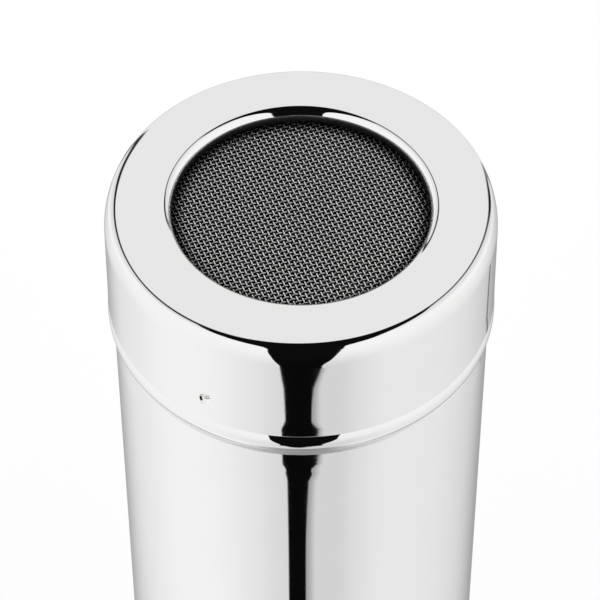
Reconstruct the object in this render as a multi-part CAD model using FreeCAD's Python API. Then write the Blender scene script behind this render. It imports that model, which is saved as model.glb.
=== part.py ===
import FreeCAD, Part

import math
import os

# Restaurant spice shaker: a drawn steel cup, a twist-on lid and a woven sieve insert.
# Lengths are in millimetres and angles in degrees. The origin is the middle of the
# base, +Z points up, and the front of the shaker faces -Y.

# Overall
shaker_height = 120.0
lid_radius = 35.0
sheet = 0.5
running_gap = 0.3
overrun = 5.0

# Lid: flat top with a rolled opening, three bends round its edge and a flared skirt
opening_share = 0.657
opening_roll_radius = 1.65
opening_flange_depth = 2.7
edge_radius = 3.0
edge_turn = 20.0
shoulder_radius = 1.0
shoulder_turn = 45.0
skirt_radius = 8.5
skirt_flare_turn = 0.5

# Lid hem: a fine groove, then a crowned band that closes in on the cup
groove_drop = 22.15
groove_height = 0.3
groove_depth = 0.2
crown_radius = 5.5
crown_lean_turn = 20.0
crown_close_turn = 27.0

# Pips punched into the skirt, which run in the channels of the cup's neck
pip_count = 3
pip_above_groove = 5.45
pip_mouth_radius = 1.33
pip_depth = 1.6
pip_tip_radius = 0.55
front_pip_turn = -28.2
twist_angle = 30.0

# Cup: straight wall, then a slight taper up to the ledge under the lid
cup_inset = 0.7
ledge_gap = 1.45
ledge_width = 0.8
ledge_drop = 0.1
taper_height = 5.4
taper_step = 0.05

# Base of the cup: a standing ring round a raised floor
base_edge_radius = 3.2
standing_ring_width = 2.0
floor_rise = 1.2
floor_rise_turn = 50.0

# Sieve insert: woven cloth on a ribbed ring that sits on the cup's rim
wire_diameter = 0.28
wire_pitch = 0.85
wires_per_bar = 3
weave_turn = 22.5
rim_overhang = 0.1
cloth_lap_share = 0.42
rib_width_share = 0.6
rib_height = 0.9
rib_turn = 55.0

# Radii that follow
opening_radius = opening_share * lid_radius
cup_radius = lid_radius - cup_inset
neck_radius = cup_radius - ledge_width
pip_reach_radius = lid_radius - pip_depth - sheet
neck_inner_radius = neck_radius - sheet
cloth_radius = opening_radius + cloth_lap_share * (neck_inner_radius - opening_radius)

# Heights that follow
cloth_thickness = 2 * wire_diameter
cloth_top = shaker_height - opening_flange_depth
ring_top = cloth_top - cloth_thickness
rim_height = ring_top - sheet
pip_height = shaker_height - groove_drop + pip_above_groove

AXIS = FreeCAD.Vector(0, 0, 1)
OUTWARD = FreeCAD.Vector(1, 0, 0)
ORIGIN = FreeCAD.Vector(0, 0, 0)


# Bent sheet

def straight(length):
    """A straight run of sheet."""
    return "straight", length, 0


def bend(radius, turn):
    """A round bend on its outer radius; a positive turn, in degrees, goes to the left."""
    return "bend", radius, turn


def fold(turn):
    """A sharp bend; a positive turn, in degrees, goes to the left."""
    return "fold", 0, turn


def slope_run(rise, run):
    """A straight run that goes this far up and along."""
    return straight(math.hypot(rise, run))


def in_direction(heading, distance):
    """Step in the XZ plane with this heading from +X towards +Z."""
    angle = math.radians(heading)
    return FreeCAD.Vector(math.cos(angle), 0, math.sin(angle)) * distance


def bent_sheet(start_radius, start_height, heading, runs):
    """Sheet turned about the axis: the runs are its section's left side, seen along them."""
    point = FreeCAD.Vector(start_radius, 0, start_height)
    edges = []
    for kind, size, turn in runs:
        if kind == "straight":
            ahead = point + in_direction(heading, size)
            edges.append(Part.LineSegment(point, ahead).toShape())
            point = ahead
        if kind == "bend":
            side = math.copysign(90, turn)
            centre = point + in_direction(heading + side, size)
            middle = centre + in_direction(heading + turn / 2 - side, size)
            ahead = centre + in_direction(heading + turn - side, size)
            edges.append(Part.Arc(point, middle, ahead).toShape())
            point = ahead
        heading += turn
    path = Part.Wire(edges)
    section = path.makeOffset2D(-sheet, join=2, fill=True, openResult=True)
    corner = FreeCAD.Vector(0, 0, -overrun)
    height = shaker_height + 2 * overrun
    front = FreeCAD.Vector(0, -1, 0)
    half_plane = Part.makePlane(lid_radius + overrun, height, corner, front, OUTWARD)
    return section.common(half_plane).Faces[0].revolve(ORIGIN, AXIS, 360)


def turned(shape, angle):
    """A copy turned about the shaker's axis."""
    copy = shape.copy()
    copy.rotate(ORIGIN, AXIS, angle)
    return copy


def pip_directions():
    """Angle of each pip about the axis, from +X; the first is beside the shaker's front."""
    first = front_pip_turn - 90
    return [first + number * 360 / pip_count for number in range(pip_count)]


# Pip: a blunt cone that points at the axis

def pip_slope():
    """Angle between the pip's axis and its cone."""
    tip_drop = pip_depth - pip_tip_radius
    reach = math.hypot(tip_drop, pip_mouth_radius)
    return math.atan2(pip_mouth_radius, tip_drop) - math.asin(pip_tip_radius / reach)


def pip_width_at(drop, skin):
    """Radius of the pip's cone this far below the skirt, a skin outside its dent."""
    slope = pip_slope()
    return pip_mouth_radius + skin / math.cos(slope) - drop * math.tan(slope)


def pip_cone(start_drop, skin):
    """Pip at +X from this far below the skirt to its tip, a skin outside its dent."""
    tip_drop = pip_depth - pip_tip_radius
    tip_radius = pip_tip_radius + skin
    cone_end = tip_drop + tip_radius * math.sin(pip_slope())
    start = FreeCAD.Vector(lid_radius - start_drop, 0, pip_height)
    widths = pip_width_at(start_drop, skin), pip_width_at(cone_end, skin)
    cone = Part.makeCone(*widths, cone_end - start_drop, start, -OUTWARD)
    tip_centre = FreeCAD.Vector(lid_radius - tip_drop, 0, pip_height)
    return cone.fuse(Part.makeSphere(tip_radius, tip_centre))


# Lid shell

def edge_bends():
    """The bends from the flat top to the skirt."""
    skirt_turn = 90 - skirt_flare_turn - edge_turn - shoulder_turn
    return [
        bend(edge_radius, -edge_turn),
        bend(shoulder_radius, -shoulder_turn),
        bend(skirt_radius, -skirt_turn),
    ]


def edge_size():
    """Width and height of the bends from the flat top to the skirt."""
    size = FreeCAD.Vector(0, 0, 0)
    heading = 0
    for _, radius, turn in edge_bends():
        size += in_direction(heading - 90, radius) - in_direction(heading + turn - 90, radius)
        heading += turn
    return size.x, -size.z


def hem_height():
    """Height of the lid's lowest edge."""
    crown_turns = math.radians(crown_lean_turn), math.radians(crown_close_turn)
    crown_height = crown_radius * sum(math.sin(turn) for turn in crown_turns)
    return shaker_height - groove_drop - crown_height


def make_lid_shell():
    """Lid pressed from one sheet, from the opening's flange down to the hem."""
    edge_width, edge_height = edge_size()
    skirt_height = groove_drop - groove_height - edge_height
    groove_turn = math.degrees(math.atan2(groove_depth, groove_height))
    runs = [
        straight(opening_flange_depth - opening_roll_radius),
        bend(opening_roll_radius, -90),
        straight(lid_radius - edge_width - opening_radius - opening_roll_radius),
        *edge_bends(),
        straight(skirt_height / math.cos(math.radians(skirt_flare_turn))),
        fold(-skirt_flare_turn - groove_turn),
        slope_run(groove_height, groove_depth),
        fold(groove_turn + crown_lean_turn),
        bend(crown_radius, -crown_lean_turn - crown_close_turn),
    ]
    shell = bent_sheet(opening_radius, cloth_top, 90, runs)
    mouth = FreeCAD.Vector(lid_radius, 0, pip_height)
    boss = pip_cone(sheet / 2, sheet)
    dent = pip_cone(0, 0).fuse(Part.makeCylinder(pip_mouth_radius, overrun, mouth, OUTWARD))
    for angle in pip_directions():
        shell = shell.fuse(turned(boss, angle)).cut(turned(dent, angle))
    return shell.removeSplitter()


# Cup

def pip_path(half_width, inner_radius, outer_radius, top):
    """Block that a pip at +X sweeps: down from the top, then round through the twist."""
    start = inner_radius - half_width
    reach = outer_radius - start
    corner = FreeCAD.Vector(start, -half_width, pip_height)
    entry = Part.makeBox(reach, 2 * half_width, top - pip_height, corner)
    low_middle = FreeCAD.Vector(0, 0, pip_height - half_width)
    run = Part.makeCylinder(outer_radius, 2 * half_width, low_middle, AXIS, twist_angle)
    end = Part.makeCylinder(half_width, reach, FreeCAD.Vector(start, 0, pip_height), OUTWARD)
    path = entry.fuse([turned(run, -twist_angle), end, turned(end, -twist_angle)])
    outside = Part.makeCylinder(outer_radius, top)
    return path.common(outside.cut(Part.makeCylinder(inner_radius, top)))


def make_cup():
    """Cup drawn from one sheet, with a channel pressed into the neck for each pip."""
    ledge_run = ledge_width - taper_step
    ledge_turn = math.degrees(math.atan2(ledge_run, ledge_drop))
    taper_turn = math.degrees(math.atan2(taper_step, taper_height))
    ledge_height = hem_height() - ledge_gap
    wall_height = ledge_height - ledge_drop - taper_height
    floor_slope = math.tan(math.radians(floor_rise_turn))
    floor_radius = cup_radius - base_edge_radius - standing_ring_width
    runs = [
        straight(rim_height - ledge_height),
        fold(ledge_turn),
        slope_run(ledge_drop, ledge_run),
        fold(taper_turn - ledge_turn),
        slope_run(taper_height, taper_step),
        fold(-taper_turn),
        straight(wall_height - base_edge_radius),
        bend(base_edge_radius, -90),
        straight(standing_ring_width),
        fold(-floor_rise_turn),
        slope_run(floor_rise, floor_rise / floor_slope),
        fold(floor_rise_turn),
        straight(floor_radius + overrun),
    ]
    cup = bent_sheet(neck_radius, rim_height, -90, runs)
    path_half = pip_width_at(lid_radius - neck_radius, sheet) + running_gap
    channel_radius = pip_reach_radius - running_gap
    pad_radius = neck_radius - sheet / 2
    pad = pip_path(path_half + sheet, channel_radius - sheet, pad_radius, rim_height)
    channel = pip_path(path_half, channel_radius, cup_radius, shaker_height)
    for angle in pip_directions():
        cup = cup.fuse(turned(pad, angle)).cut(turned(channel, angle))
    return cup.removeSplitter()


# Sieve insert

def make_sieve_ring():
    """Ring with one pressed rib, which carries the cloth and seats on the cup's rim."""
    rib_foot = rib_height / math.tan(math.radians(rib_turn))
    rib_width = rib_width_share * (neck_inner_radius - cloth_radius)
    rib_middle = (cloth_radius + neck_inner_radius) / 2
    runs = [
        straight(rib_middle - rib_width / 2 - opening_radius),
        fold(rib_turn),
        slope_run(rib_height, rib_foot),
        fold(-rib_turn),
        straight(rib_width - 2 * rib_foot),
        fold(-rib_turn),
        slope_run(rib_height, rib_foot),
        fold(rib_turn),
        straight(neck_radius + rim_overhang - rib_middle - rib_width / 2),
    ]
    return bent_sheet(opening_radius, ring_top, 0, runs)


def square(x, y, side):
    """Outline of a square about a point in the XY plane."""
    corners = []
    for across, along in ((-1, -1), (1, -1), (1, 1), (-1, 1), (-1, -1)):
        corners.append(FreeCAD.Vector(x + across * side / 2, y + along * side / 2, 0))
    return Part.makePolygon(corners)


def make_sieve_cloth():
    """Cloth as one net: a disc with a square gap for each group of wires."""
    gap_pitch = wires_per_bar * wire_pitch
    gap = wires_per_bar * (wire_pitch - wire_diameter)
    open_radius = opening_radius - wire_diameter
    rows = math.ceil(open_radius / gap_pitch)
    places = [number * gap_pitch for number in range(-rows, rows + 1)]
    outlines = [Part.Wire(Part.Circle(ORIGIN, AXIS, cloth_radius).toShape())]
    for x in places:
        for y in places:
            if math.hypot(abs(x) + gap / 2, abs(y) + gap / 2) < open_radius:
                outlines.append(square(x, y, gap))
    print("gaps in the cloth:", len(outlines) - 1)
    net = turned(Part.makeFace(outlines, "Part::FaceMakerBullseye"), weave_turn)
    net.translate(FreeCAD.Vector(0, 0, ring_top))
    return net.extrude(FreeCAD.Vector(0, 0, cloth_thickness))


parts = {
    "cup": make_cup,
    "lid_shell": make_lid_shell,
    "sieve_ring": make_sieve_ring,
    "sieve_cloth": make_sieve_cloth,
}

os.makedirs("parts", exist_ok=True)
for name, make in parts.items():
    shape = make()
    print(name, "solids:", len(shape.Solids), "valid:", shape.isValid())
    shape.Solids[0].exportStep("parts/" + name + ".step")
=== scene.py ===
"""Restaurant spice shaker: polished steel cup, twist-on lid and woven wire sieve.

Everything is in metres. The origin is the middle of the base, +Z points up and the front
of the shaker faces -Y.
"""

import math

import bpy
import numpy as np
from bpy.props import FloatProperty, FloatVectorProperty, IntProperty, PointerProperty
from mathutils import Matrix, Vector


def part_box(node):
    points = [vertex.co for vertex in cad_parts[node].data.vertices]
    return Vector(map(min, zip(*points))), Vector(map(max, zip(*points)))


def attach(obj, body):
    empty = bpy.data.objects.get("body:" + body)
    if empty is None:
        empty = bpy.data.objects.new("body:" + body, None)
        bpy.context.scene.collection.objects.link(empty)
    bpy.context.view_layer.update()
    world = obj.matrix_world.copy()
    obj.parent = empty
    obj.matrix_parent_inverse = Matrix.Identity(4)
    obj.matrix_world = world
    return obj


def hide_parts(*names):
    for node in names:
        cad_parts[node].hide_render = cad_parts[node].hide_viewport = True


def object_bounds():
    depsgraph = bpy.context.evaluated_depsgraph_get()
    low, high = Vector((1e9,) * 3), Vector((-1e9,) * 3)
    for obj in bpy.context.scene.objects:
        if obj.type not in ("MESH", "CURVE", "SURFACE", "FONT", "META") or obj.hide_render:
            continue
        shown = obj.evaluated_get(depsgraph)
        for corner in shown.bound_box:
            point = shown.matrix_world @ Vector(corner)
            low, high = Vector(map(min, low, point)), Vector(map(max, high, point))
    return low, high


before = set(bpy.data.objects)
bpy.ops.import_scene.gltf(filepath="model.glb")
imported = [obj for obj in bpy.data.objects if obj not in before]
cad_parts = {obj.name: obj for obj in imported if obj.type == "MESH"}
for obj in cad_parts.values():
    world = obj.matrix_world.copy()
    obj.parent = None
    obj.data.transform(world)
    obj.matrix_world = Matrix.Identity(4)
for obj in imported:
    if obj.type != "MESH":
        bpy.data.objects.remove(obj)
CAD_BOX = [list(corner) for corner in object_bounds()]

bl_info = {
    "name": "Spice shaker",
    "version": (1, 0, 0),
    "blender": (4, 5, 0),
    "location": "3D View > Sidebar > Shaker",
    "description": "Builds a polished steel spice shaker with a woven wire sieve",
    "category": "Add Mesh",
}

# Radius of the lid's skirt, under its edge
LID_RADIUS = 0.035

FRONT = math.radians(-90)
SHAKER_TOP = CAD_BOX[1][2]
CLOTH_LOW, CLOTH_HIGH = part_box("sieve_cloth")


# Properties

def length(name, default, description):
    """A length in metres."""
    return FloatProperty(
        name=name, default=default, description=description, min=0, unit="LENGTH", precision=5
    )


def angle(name, degrees, description):
    """An angle, given in degrees."""
    return FloatProperty(
        name=name,
        default=math.radians(degrees),
        description=description,
        subtype="ANGLE",
        unit="ROTATION",
    )


def colour(name, default, description):
    """A colour, in linear red, green and blue."""
    return FloatVectorProperty(
        name=name, default=default, description=description, subtype="COLOR", size=3, min=0, max=1
    )


class ShakerLid(bpy.types.PropertyGroup):
    """Sizes of the lid"""

    sheet: length("Sheet", 0.0005, "Thickness of the steel sheet")
    opening: length("Opening radius", 0.022995, "Inside radius of the opening's flange")
    roll: length("Opening roll", 0.00165, "Rounding of the opening's edge")
    flange: length("Flange depth", 0.0027, "Depth of the opening's flange")
    edge: length("Edge rounding", 0.003, "Rounding where the flat top bends down")
    edge_turn: angle("Edge turn", 20, "Turn of the first rounding")
    shoulder: length("Shoulder rounding", 0.001, "Tighter rounding at the shoulder")
    shoulder_turn: angle("Shoulder turn", 45, "Turn of the shoulder's rounding")
    skirt: length("Skirt rounding", 0.0085, "Wider rounding into the skirt")
    flare: angle("Skirt flare", 0.5, "How far the skirt opens out")
    waist: length("Waist", 0.005, "Height in which the skirt's top straightens")
    waist_turn: angle("Waist turn", 0.4, "Turn of the waist")
    foot_bend: length("Foot bend", 0.0026, "Height in which the skirt's foot opens out further")
    foot: length("Foot height", 0.0018, "Straight height of the skirt's foot under its bend")
    foot_flare: angle("Foot flare", 0.75, "How much further the foot opens out")
    groove_drop: length("Groove drop", 0.0225, "Bottom of the groove below the top")
    groove_height: length("Groove height", 0.0003, "Height of the groove's slope")
    groove_depth: length("Groove depth", 0.00049, "Depth of the groove")
    groove_edge: length("Groove edge", 0.00025, "Rounding of the groove's edge")
    groove_root: length("Groove root", 0.0001, "Rounding of the groove's bottom")
    brow: length("Brow radius", 0.0139, "Radius of the upper part of the hem's crowned band")
    brow_turn: angle("Brow turn", 4, "Turn of the band's upper part")
    crown: length("Crown radius", 0.0034, "Radius of the band's middle")
    tuck: length("Tuck radius", 0.0042, "Radius of the band's lower part")
    tuck_turn: angle("Tuck turn", 25, "Turn of the band's lower part")
    lean: angle("Crown lean", 24, "Slope of the band's upper edge")
    close: angle("Crown close", 28, "Slope of the band's lower edge")


class ShakerPips(bpy.types.PropertyGroup):
    """Sizes of the pips and their channels"""

    count: IntProperty(name="Pips", default=3, min=1, description="Pips round the skirt")
    height: length("Height", 0.103, "Height of the pips")
    mouth: length("Mouth radius", 0.0015, "Radius of a pip at the skirt")
    depth: length("Depth", 0.0015, "Depth of a pip")
    front_turn: angle("Front pip", -28.2, "Turn of the first pip from the front")
    channel_half: length("Channel half width", 0.00126, "Half width of a channel in the neck")
    channel_depth: length("Channel depth", 0.0009, "Depth of a channel in the neck")
    twist: angle("Twist", 30, "Turn of the lid from open to locked")


class ShakerCup(bpy.types.PropertyGroup):
    """Sizes of the cup"""

    radius: length("Radius", 0.0343, "Outside radius of the cup")
    neck: length("Neck radius", 0.0335, "Outside radius of the neck under the lid")
    rim: length("Rim height", 0.11624, "Height of the rim that the sieve sits on")
    ledge: length("Ledge height", 0.09235, "Height of the ledge under the lid")
    ledge_drop: length("Ledge drop", 0.00062, "How far the ledge slopes down")
    ledge_root: length("Ledge root", 0.0002, "Rounding between the neck and the ledge")
    ledge_edge: length("Ledge edge", 0.00012, "Rounding of the ledge's edge")
    taper: length("Taper height", 0.0027, "Height of the slight taper under the ledge")
    taper_bend: length("Taper bend", 0.0048, "Height in which the taper ends")
    taper_turn: angle("Taper turn", 1.5, "Slope at the top of the taper")
    base_edge: length("Base edge", 0.0032, "Rounding between the wall and the base")
    ring: length("Standing ring", 0.002, "Width of the ring that the cup stands on")
    floor_rise: length("Floor rise", 0.0012, "How far the floor is raised")
    floor_bend: length("Floor bend", 0.0012, "Rounding at the raised floor's edge")
    floor_turn: angle("Floor slope", 50, "Slope up to the raised floor")


class ShakerCloth(bpy.types.PropertyGroup):
    """Sizes of the woven wire cloth"""

    wire: length("Wire diameter", 0.00028, "Diameter of the wire")
    warp_pitch: length("Warp pitch", 0.00087, "Distance between warp wires")
    weft_pitch: length("Weft pitch", 0.000847, "Distance between weft wires")
    warp_turn: angle("Warp turn", 21.2, "Direction across the warp wires")
    weft_turn: angle("Weft turn", -66.2, "Direction across the weft wires")
    uneven: length("Unevenness", 0.00002, "How far a wire strays from its line")
    seed: IntProperty(name="Seed", default=3, description="Seed of the wires' unevenness")


class ShakerColours(bpy.types.PropertyGroup):
    """Colours of the steel"""

    polished: colour("Polished steel", (0.9, 0.9, 0.895), "Cup and lid, outside")
    inside: colour("Inside steel", (0.55, 0.55, 0.545), "Cup and lid, inside")
    pressed: colour("Pressed steel", (0.7, 0.7, 0.69), "Sieve ring")
    warp: colour("Warp", (1.0, 1.0, 0.99), "Warp wires of the cloth")
    # The weft's tint is darker than the warp's: painted shade, for the two are the same wire
    shaded_weft: colour("Weft", (0.62, 0.62, 0.61), "Weft wires of the cloth")
    floor: colour("Floor", (0.9, 0.9, 0.9), "Floor that the shaker stands on")


GROUPS = {
    "shaker_lid": ShakerLid,
    "shaker_pips": ShakerPips,
    "shaker_cup": ShakerCup,
    "shaker_cloth": ShakerCloth,
    "shaker_colours": ShakerColours,
}


# Node helpers

def node(tree, kind, **settings):
    """A new node with these settings."""
    made = tree.nodes.new(kind)
    for name, value in settings.items():
        setattr(made, name, value)
    return made


def feed(tree, source, socket):
    """Link an output, or set a number, into an input."""
    if isinstance(source, bpy.types.NodeSocket):
        tree.links.new(source, socket)
    else:
        socket.default_value = source


def maths(tree, operation, *inputs, clamp=False):
    """Output of a Math node."""
    made = node(tree, "ShaderNodeMath", operation=operation, use_clamp=clamp)
    for source, socket in zip(inputs, made.inputs):
        feed(tree, source, socket)
    return made.outputs[0]


def folded(tree, operation, *values):
    """One value out of several, by the same Math operation."""
    result = values[0]
    for value in values[1:]:
        result = maths(tree, operation, result, value)
    return result


def times(tree, *values):
    """Product of these values."""
    return folded(tree, "MULTIPLY", *values)


def vector_maths(tree, operation, *inputs, output="Vector"):
    """Output of a Vector Math node."""
    made = node(tree, "ShaderNodeVectorMath", operation=operation)
    for source, socket in zip(inputs, made.inputs):
        feed(tree, source, socket)
    return made.outputs[output]


def vector_of(tree, x=0.0, y=0.0, z=0.0):
    """Vector of three numbers or outputs."""
    made = node(tree, "ShaderNodeCombineXYZ")
    for source, socket in zip((x, y, z), made.inputs):
        feed(tree, source, socket)
    return made.outputs[0]


def parts_of(tree, vector):
    """X, Y and Z of a vector."""
    made = node(tree, "ShaderNodeSeparateXYZ")
    feed(tree, vector, made.inputs[0])
    return made.outputs


def between(tree, value, low, high, to_low=0.0, to_high=1.0):
    """Smooth step of a value from one range to another."""
    made = node(tree, "ShaderNodeMapRange", interpolation_type="SMOOTHSTEP")
    for number, source in enumerate((value, low, high, to_low, to_high)):
        feed(tree, source, made.inputs[number])
    return made.outputs[0]


def curve_of(tree, value, points, most):
    """Smooth curve through (value, result) points, whose results lie from 0 to a most."""
    low, high = points[0][0], points[-1][0]
    made = node(tree, "ShaderNodeFloatCurve")
    curve = made.mapping.curves[0]
    places = [((x - low) / (high - low), y / most) for x, y in points]
    curve.points[0].location = places[0]
    curve.points[1].location = places[-1]
    for place in places[1:-1]:
        curve.points.new(*place)
    for point in curve.points:
        point.handle_type = "AUTO_CLAMPED"
    made.mapping.update()
    above = maths(tree, "SUBTRACT", value, low)
    feed(tree, maths(tree, "DIVIDE", above, high - low, clamp=True), made.inputs["Value"])
    return times(tree, made.outputs[0], most)


# Materials

# Roughness of the polish, from clean to smeared, what satin and dull steel add to it, and
# roughness of the wire
POLISH = (0.02, 0.05)
SATIN = 0.42
DULL = 0.3
WIRE_ROUGHNESS = 0.16

# Width of the ring near the opening in which shade is painted on the wires, darkening them
WIRE_SHADOW = 0.003

# Noise in waves per metre; the wiping lines' are those round the shaker, up it and outwards
SMEARS = 55
FINE_MARKS = 140
WIPING_LINES = (60, 2600, 2600)
WIRE_MARKS = 700
WIRE_GRAIN = 4000
GRAINS_PER_PATCH = 12
NOISE_ROUGHNESS = 0.55

# Parts of the noise's range that are spread over the roughness or the light
MARK_RANGE = (0.12, 0.45)
GRAIN_RANGE = (0.3, 0.7)
WIRE_RANGE = (0.25, 0.6)

# Shares of the tint, from darkest to clean: painted shade on the polish and the wire, darker
# patches in the grain; smears take a little off the polish
POLISH_SHADES = (0.15, 1.02)
SMEAR_SHADES = (0.05, 0.95)
WIRE_SHADES = (0.03, 1.0)
GRAIN_SHADES = (0.82, 1.1)

# Wire: part of its crown over which its painted highlight rises, least light at the cloth's edge,
# where shade is painted, and least tint at its marks
WIRE_CROWN = (0.05, 0.45)
WIRE_EDGE_LIGHT = 0.05
WIRE_MARK_LIGHT = 0.8

# Relief: strength and depth in metres
POLISH_RELIEF = (0.06, 0.00001)
WIRE_RELIEF = (0.15, 0.00001)
GRAIN_RELIEF = (0.2, 0.00002)

# Width over which one finish goes over into another
SOFT_EDGE = 0.0001


def new_steel(name):
    """An empty metal material, its node tree and its Principled shader."""
    made = bpy.data.materials.new(name)
    made.use_nodes = True
    tree = made.node_tree
    tree.nodes.clear()
    shader = node(tree, "ShaderNodeBsdfPrincipled")
    shader.inputs["Metallic"].default_value = 1
    output = node(tree, "ShaderNodeOutputMaterial")
    feed(tree, shader.outputs[0], output.inputs[0])
    return made, tree, shader


def noise(tree, coordinates, scale, detail=3.0):
    """Noise texture's value."""
    made = node(tree, "ShaderNodeTexNoise")
    feed(tree, coordinates, made.inputs["Vector"])
    made.inputs["Scale"].default_value = scale
    made.inputs["Detail"].default_value = detail
    made.inputs["Roughness"].default_value = NOISE_ROUGHNESS
    return made.outputs[0]


def shade(tree, value, shares, tint):
    """Colour from one share of a tint to another, by a value."""
    made = node(tree, "ShaderNodeMix", data_type="RGBA")
    feed(tree, value, made.inputs[0])
    for share, socket in zip(shares, (made.inputs[6], made.inputs[7])):
        socket.default_value = [*(share * part for part in tint), 1]
    return made.outputs[2]


def add_relief(tree, shader, height, relief):
    """Let a height stand out of the surface, by a relief's strength and depth."""
    bump = node(tree, "ShaderNodeBump")
    bump.inputs["Strength"].default_value, bump.inputs["Distance"].default_value = relief
    feed(tree, height, bump.inputs["Height"])
    feed(tree, bump.outputs[0], shader.inputs["Normal"])


def object_place(tree):
    """Object coordinates."""
    return node(tree, "ShaderNodeTexCoord").outputs["Object"]


def from_axis(tree, place):
    """Distance of a place from the shaker's axis."""
    flat = vector_maths(tree, "MULTIPLY", place, (1, 1, 0))
    return vector_maths(tree, "LENGTH", flat, output="Value")


def wiping_lines(tree, place):
    """Fine lines that run round the shaker's axis."""
    x, y, z = parts_of(tree, place)
    turn = maths(tree, "ARCTAN2", x, y)
    unrolled = vector_of(tree, times(tree, turn, LID_RADIUS), z, from_axis(tree, place))
    drawn_out = node(tree, "ShaderNodeMapping", vector_type="POINT")
    feed(tree, unrolled, drawn_out.inputs["Vector"])
    drawn_out.inputs["Scale"].default_value = WIPING_LINES
    return noise(tree, drawn_out.outputs[0], 1, 2)


def polished_steel(name, tint, satin_from=1.0, dull_and_shaded_within=0.0):
    """Mirror polish with faint wiping marks round the axis.

    It is satin above a height, and within a radius it is dull and darkened with painted shade.
    """
    made, tree, shader = new_steel(name)
    place = object_place(tree)
    smears = noise(tree, place, SMEARS, 4)
    lines = wiping_lines(tree, place)
    # Within the radius the steel is rougher, and painted shade darkens its colour
    dull_and_painted_shade = between(tree, from_axis(tree, place), dull_and_shaded_within, dull_and_shaded_within + SOFT_EDGE, 1.0, 0.0)
    smear_and_shade_share = maths(tree, "SUBTRACT", maths(tree, "MULTIPLY_ADD", smears, *SMEAR_SHADES), dull_and_painted_shade)
    feed(tree, shade(tree, smear_and_shade_share, POLISH_SHADES, tint), shader.inputs["Base Color"])
    height = parts_of(tree, place)[2]
    rough = folded(
        tree,
        "ADD",
        between(tree, times(tree, smears, lines), *MARK_RANGE, *POLISH),
        between(tree, height, satin_from - SOFT_EDGE, satin_from, 0.0, SATIN),
        times(tree, dull_and_painted_shade, DULL),
    )
    feed(tree, rough, shader.inputs["Roughness"])
    marks = maths(tree, "ADD", lines, noise(tree, place, FINE_MARKS, 2))
    add_relief(tree, shader, marks, POLISH_RELIEF)
    return made


def wire_steel(name, tint, middle, crown, edge):
    """Wire with painted light: a painted highlight on its crowns, painted shade where it dips and
    near the cloth's edge.
    """
    made, tree, shader = new_steel(name)
    place = object_place(tree)
    height = parts_of(tree, place)[2]
    # Painted light: highlight on the crowns, shade in the dips and near the cloth's edge, times the
    # marks' tone
    painted_light_and_marks = times(
        tree,
        between(tree, height, *(middle + share * crown for share in WIRE_CROWN)),
        between(tree, from_axis(tree, place), edge - WIRE_SHADOW, edge, 1.0, WIRE_EDGE_LIGHT),
        between(tree, noise(tree, place, WIRE_MARKS), *WIRE_RANGE, WIRE_MARK_LIGHT, 1),
    )
    feed(tree, shade(tree, painted_light_and_marks, WIRE_SHADES, tint), shader.inputs["Base Color"])
    shader.inputs["Roughness"].default_value = WIRE_ROUGHNESS
    add_relief(tree, shader, noise(tree, place, WIRE_GRAIN, 2), WIRE_RELIEF)
    return made


def drawn_steel(name, tint, scale, low_rough, high_rough):
    """Plain drawn or pressed steel, with an even fine grain."""
    made, tree, shader = new_steel(name)
    place = object_place(tree)
    grain = noise(tree, place, scale)
    patches = noise(tree, place, scale / GRAINS_PER_PATCH, 2)
    feed(tree, shade(tree, patches, GRAIN_SHADES, tint), shader.inputs["Base Color"])
    rough = between(tree, grain, *GRAIN_RANGE, low_rough, high_rough)
    feed(tree, rough, shader.inputs["Roughness"])
    add_relief(tree, shader, grain, GRAIN_RELIEF)
    return made


# Sheet steel turned about the axis

# Turn of one face round a bend, at most, and faces round a cut edge
BEND_STEP = math.radians(4)
END_STEPS = 6

# Less than this counts as level, as unturned and as on the axis
LEVEL = 1e-6
SAME_TURN = 1e-9
ON_AXIS = 1e-7

# Distance over which a dent's slope is measured for the normals
NUDGE = 1e-6


def direction(heading):
    """Step of one in the section's plane, radius and height, with this heading."""
    return np.array([math.cos(heading), math.sin(heading)])


def sheet_side(start, heading, runs):
    """Points and normal angles along the visible side of a bent sheet's section.

    A run is (length, 0) where straight, or (radius, turn) where bent; a positive turn
    goes to the left. The sheet lies on the right, and its finish on the left.
    """
    place = np.array(start, float)
    points, normals = [place], [heading + math.pi / 2]
    for size, turn in runs:
        if turn == 0:
            place = place + direction(heading) * size
            points.append(place)
            normals.append(heading + math.pi / 2)
            continue
        side = math.copysign(math.pi / 2, turn)
        centre = place + direction(heading + side) * size
        count = max(2, math.ceil(abs(turn) / BEND_STEP))
        for number in range(1, count + 1):
            ahead = heading + turn * number / count
            points.append(centre + direction(ahead - side) * size)
            normals.append(ahead + math.pi / 2)
        place = points[-1]
        heading += turn
    return np.array(points), np.array(normals)


def with_rows(points, normals, heights):
    """The same side with more rows at these heights, on its straight runs."""
    made_points, made_normals = [points[0]], [normals[0]]
    for number in range(1, len(points)):
        start, end = points[number - 1], points[number]
        straight = abs(normals[number] - normals[number - 1]) < SAME_TURN
        if straight and abs(start[1] - end[1]) > LEVEL:
            inside = [h for h in heights if min(start[1], end[1]) < h < max(start[1], end[1])]
            for height in sorted(inside, reverse=bool(start[1] > end[1])):
                share = (height - start[1]) / (end[1] - start[1])
                made_points.append(start + (end - start) * share)
                made_normals.append(normals[number])
        made_points.append(end)
        made_normals.append(normals[number])
    return np.array(made_points), np.array(made_normals)


def round_end(point, normal, sheet, forwards):
    """Rounded cut edge, from the visible side to the back, or from the back if not forwards."""
    centre = point - direction(normal) * sheet / 2
    turns = np.linspace(0, math.pi, END_STEPS + 1)[1:-1]
    if forwards:
        angles = normal - turns
        weights = turns / math.pi
    else:
        angles = normal + math.pi - turns
        weights = 1 - turns / math.pi
    points = [centre + direction(one) * sheet / 2 for one in angles]
    return np.array(points), np.array(angles), weights


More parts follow.
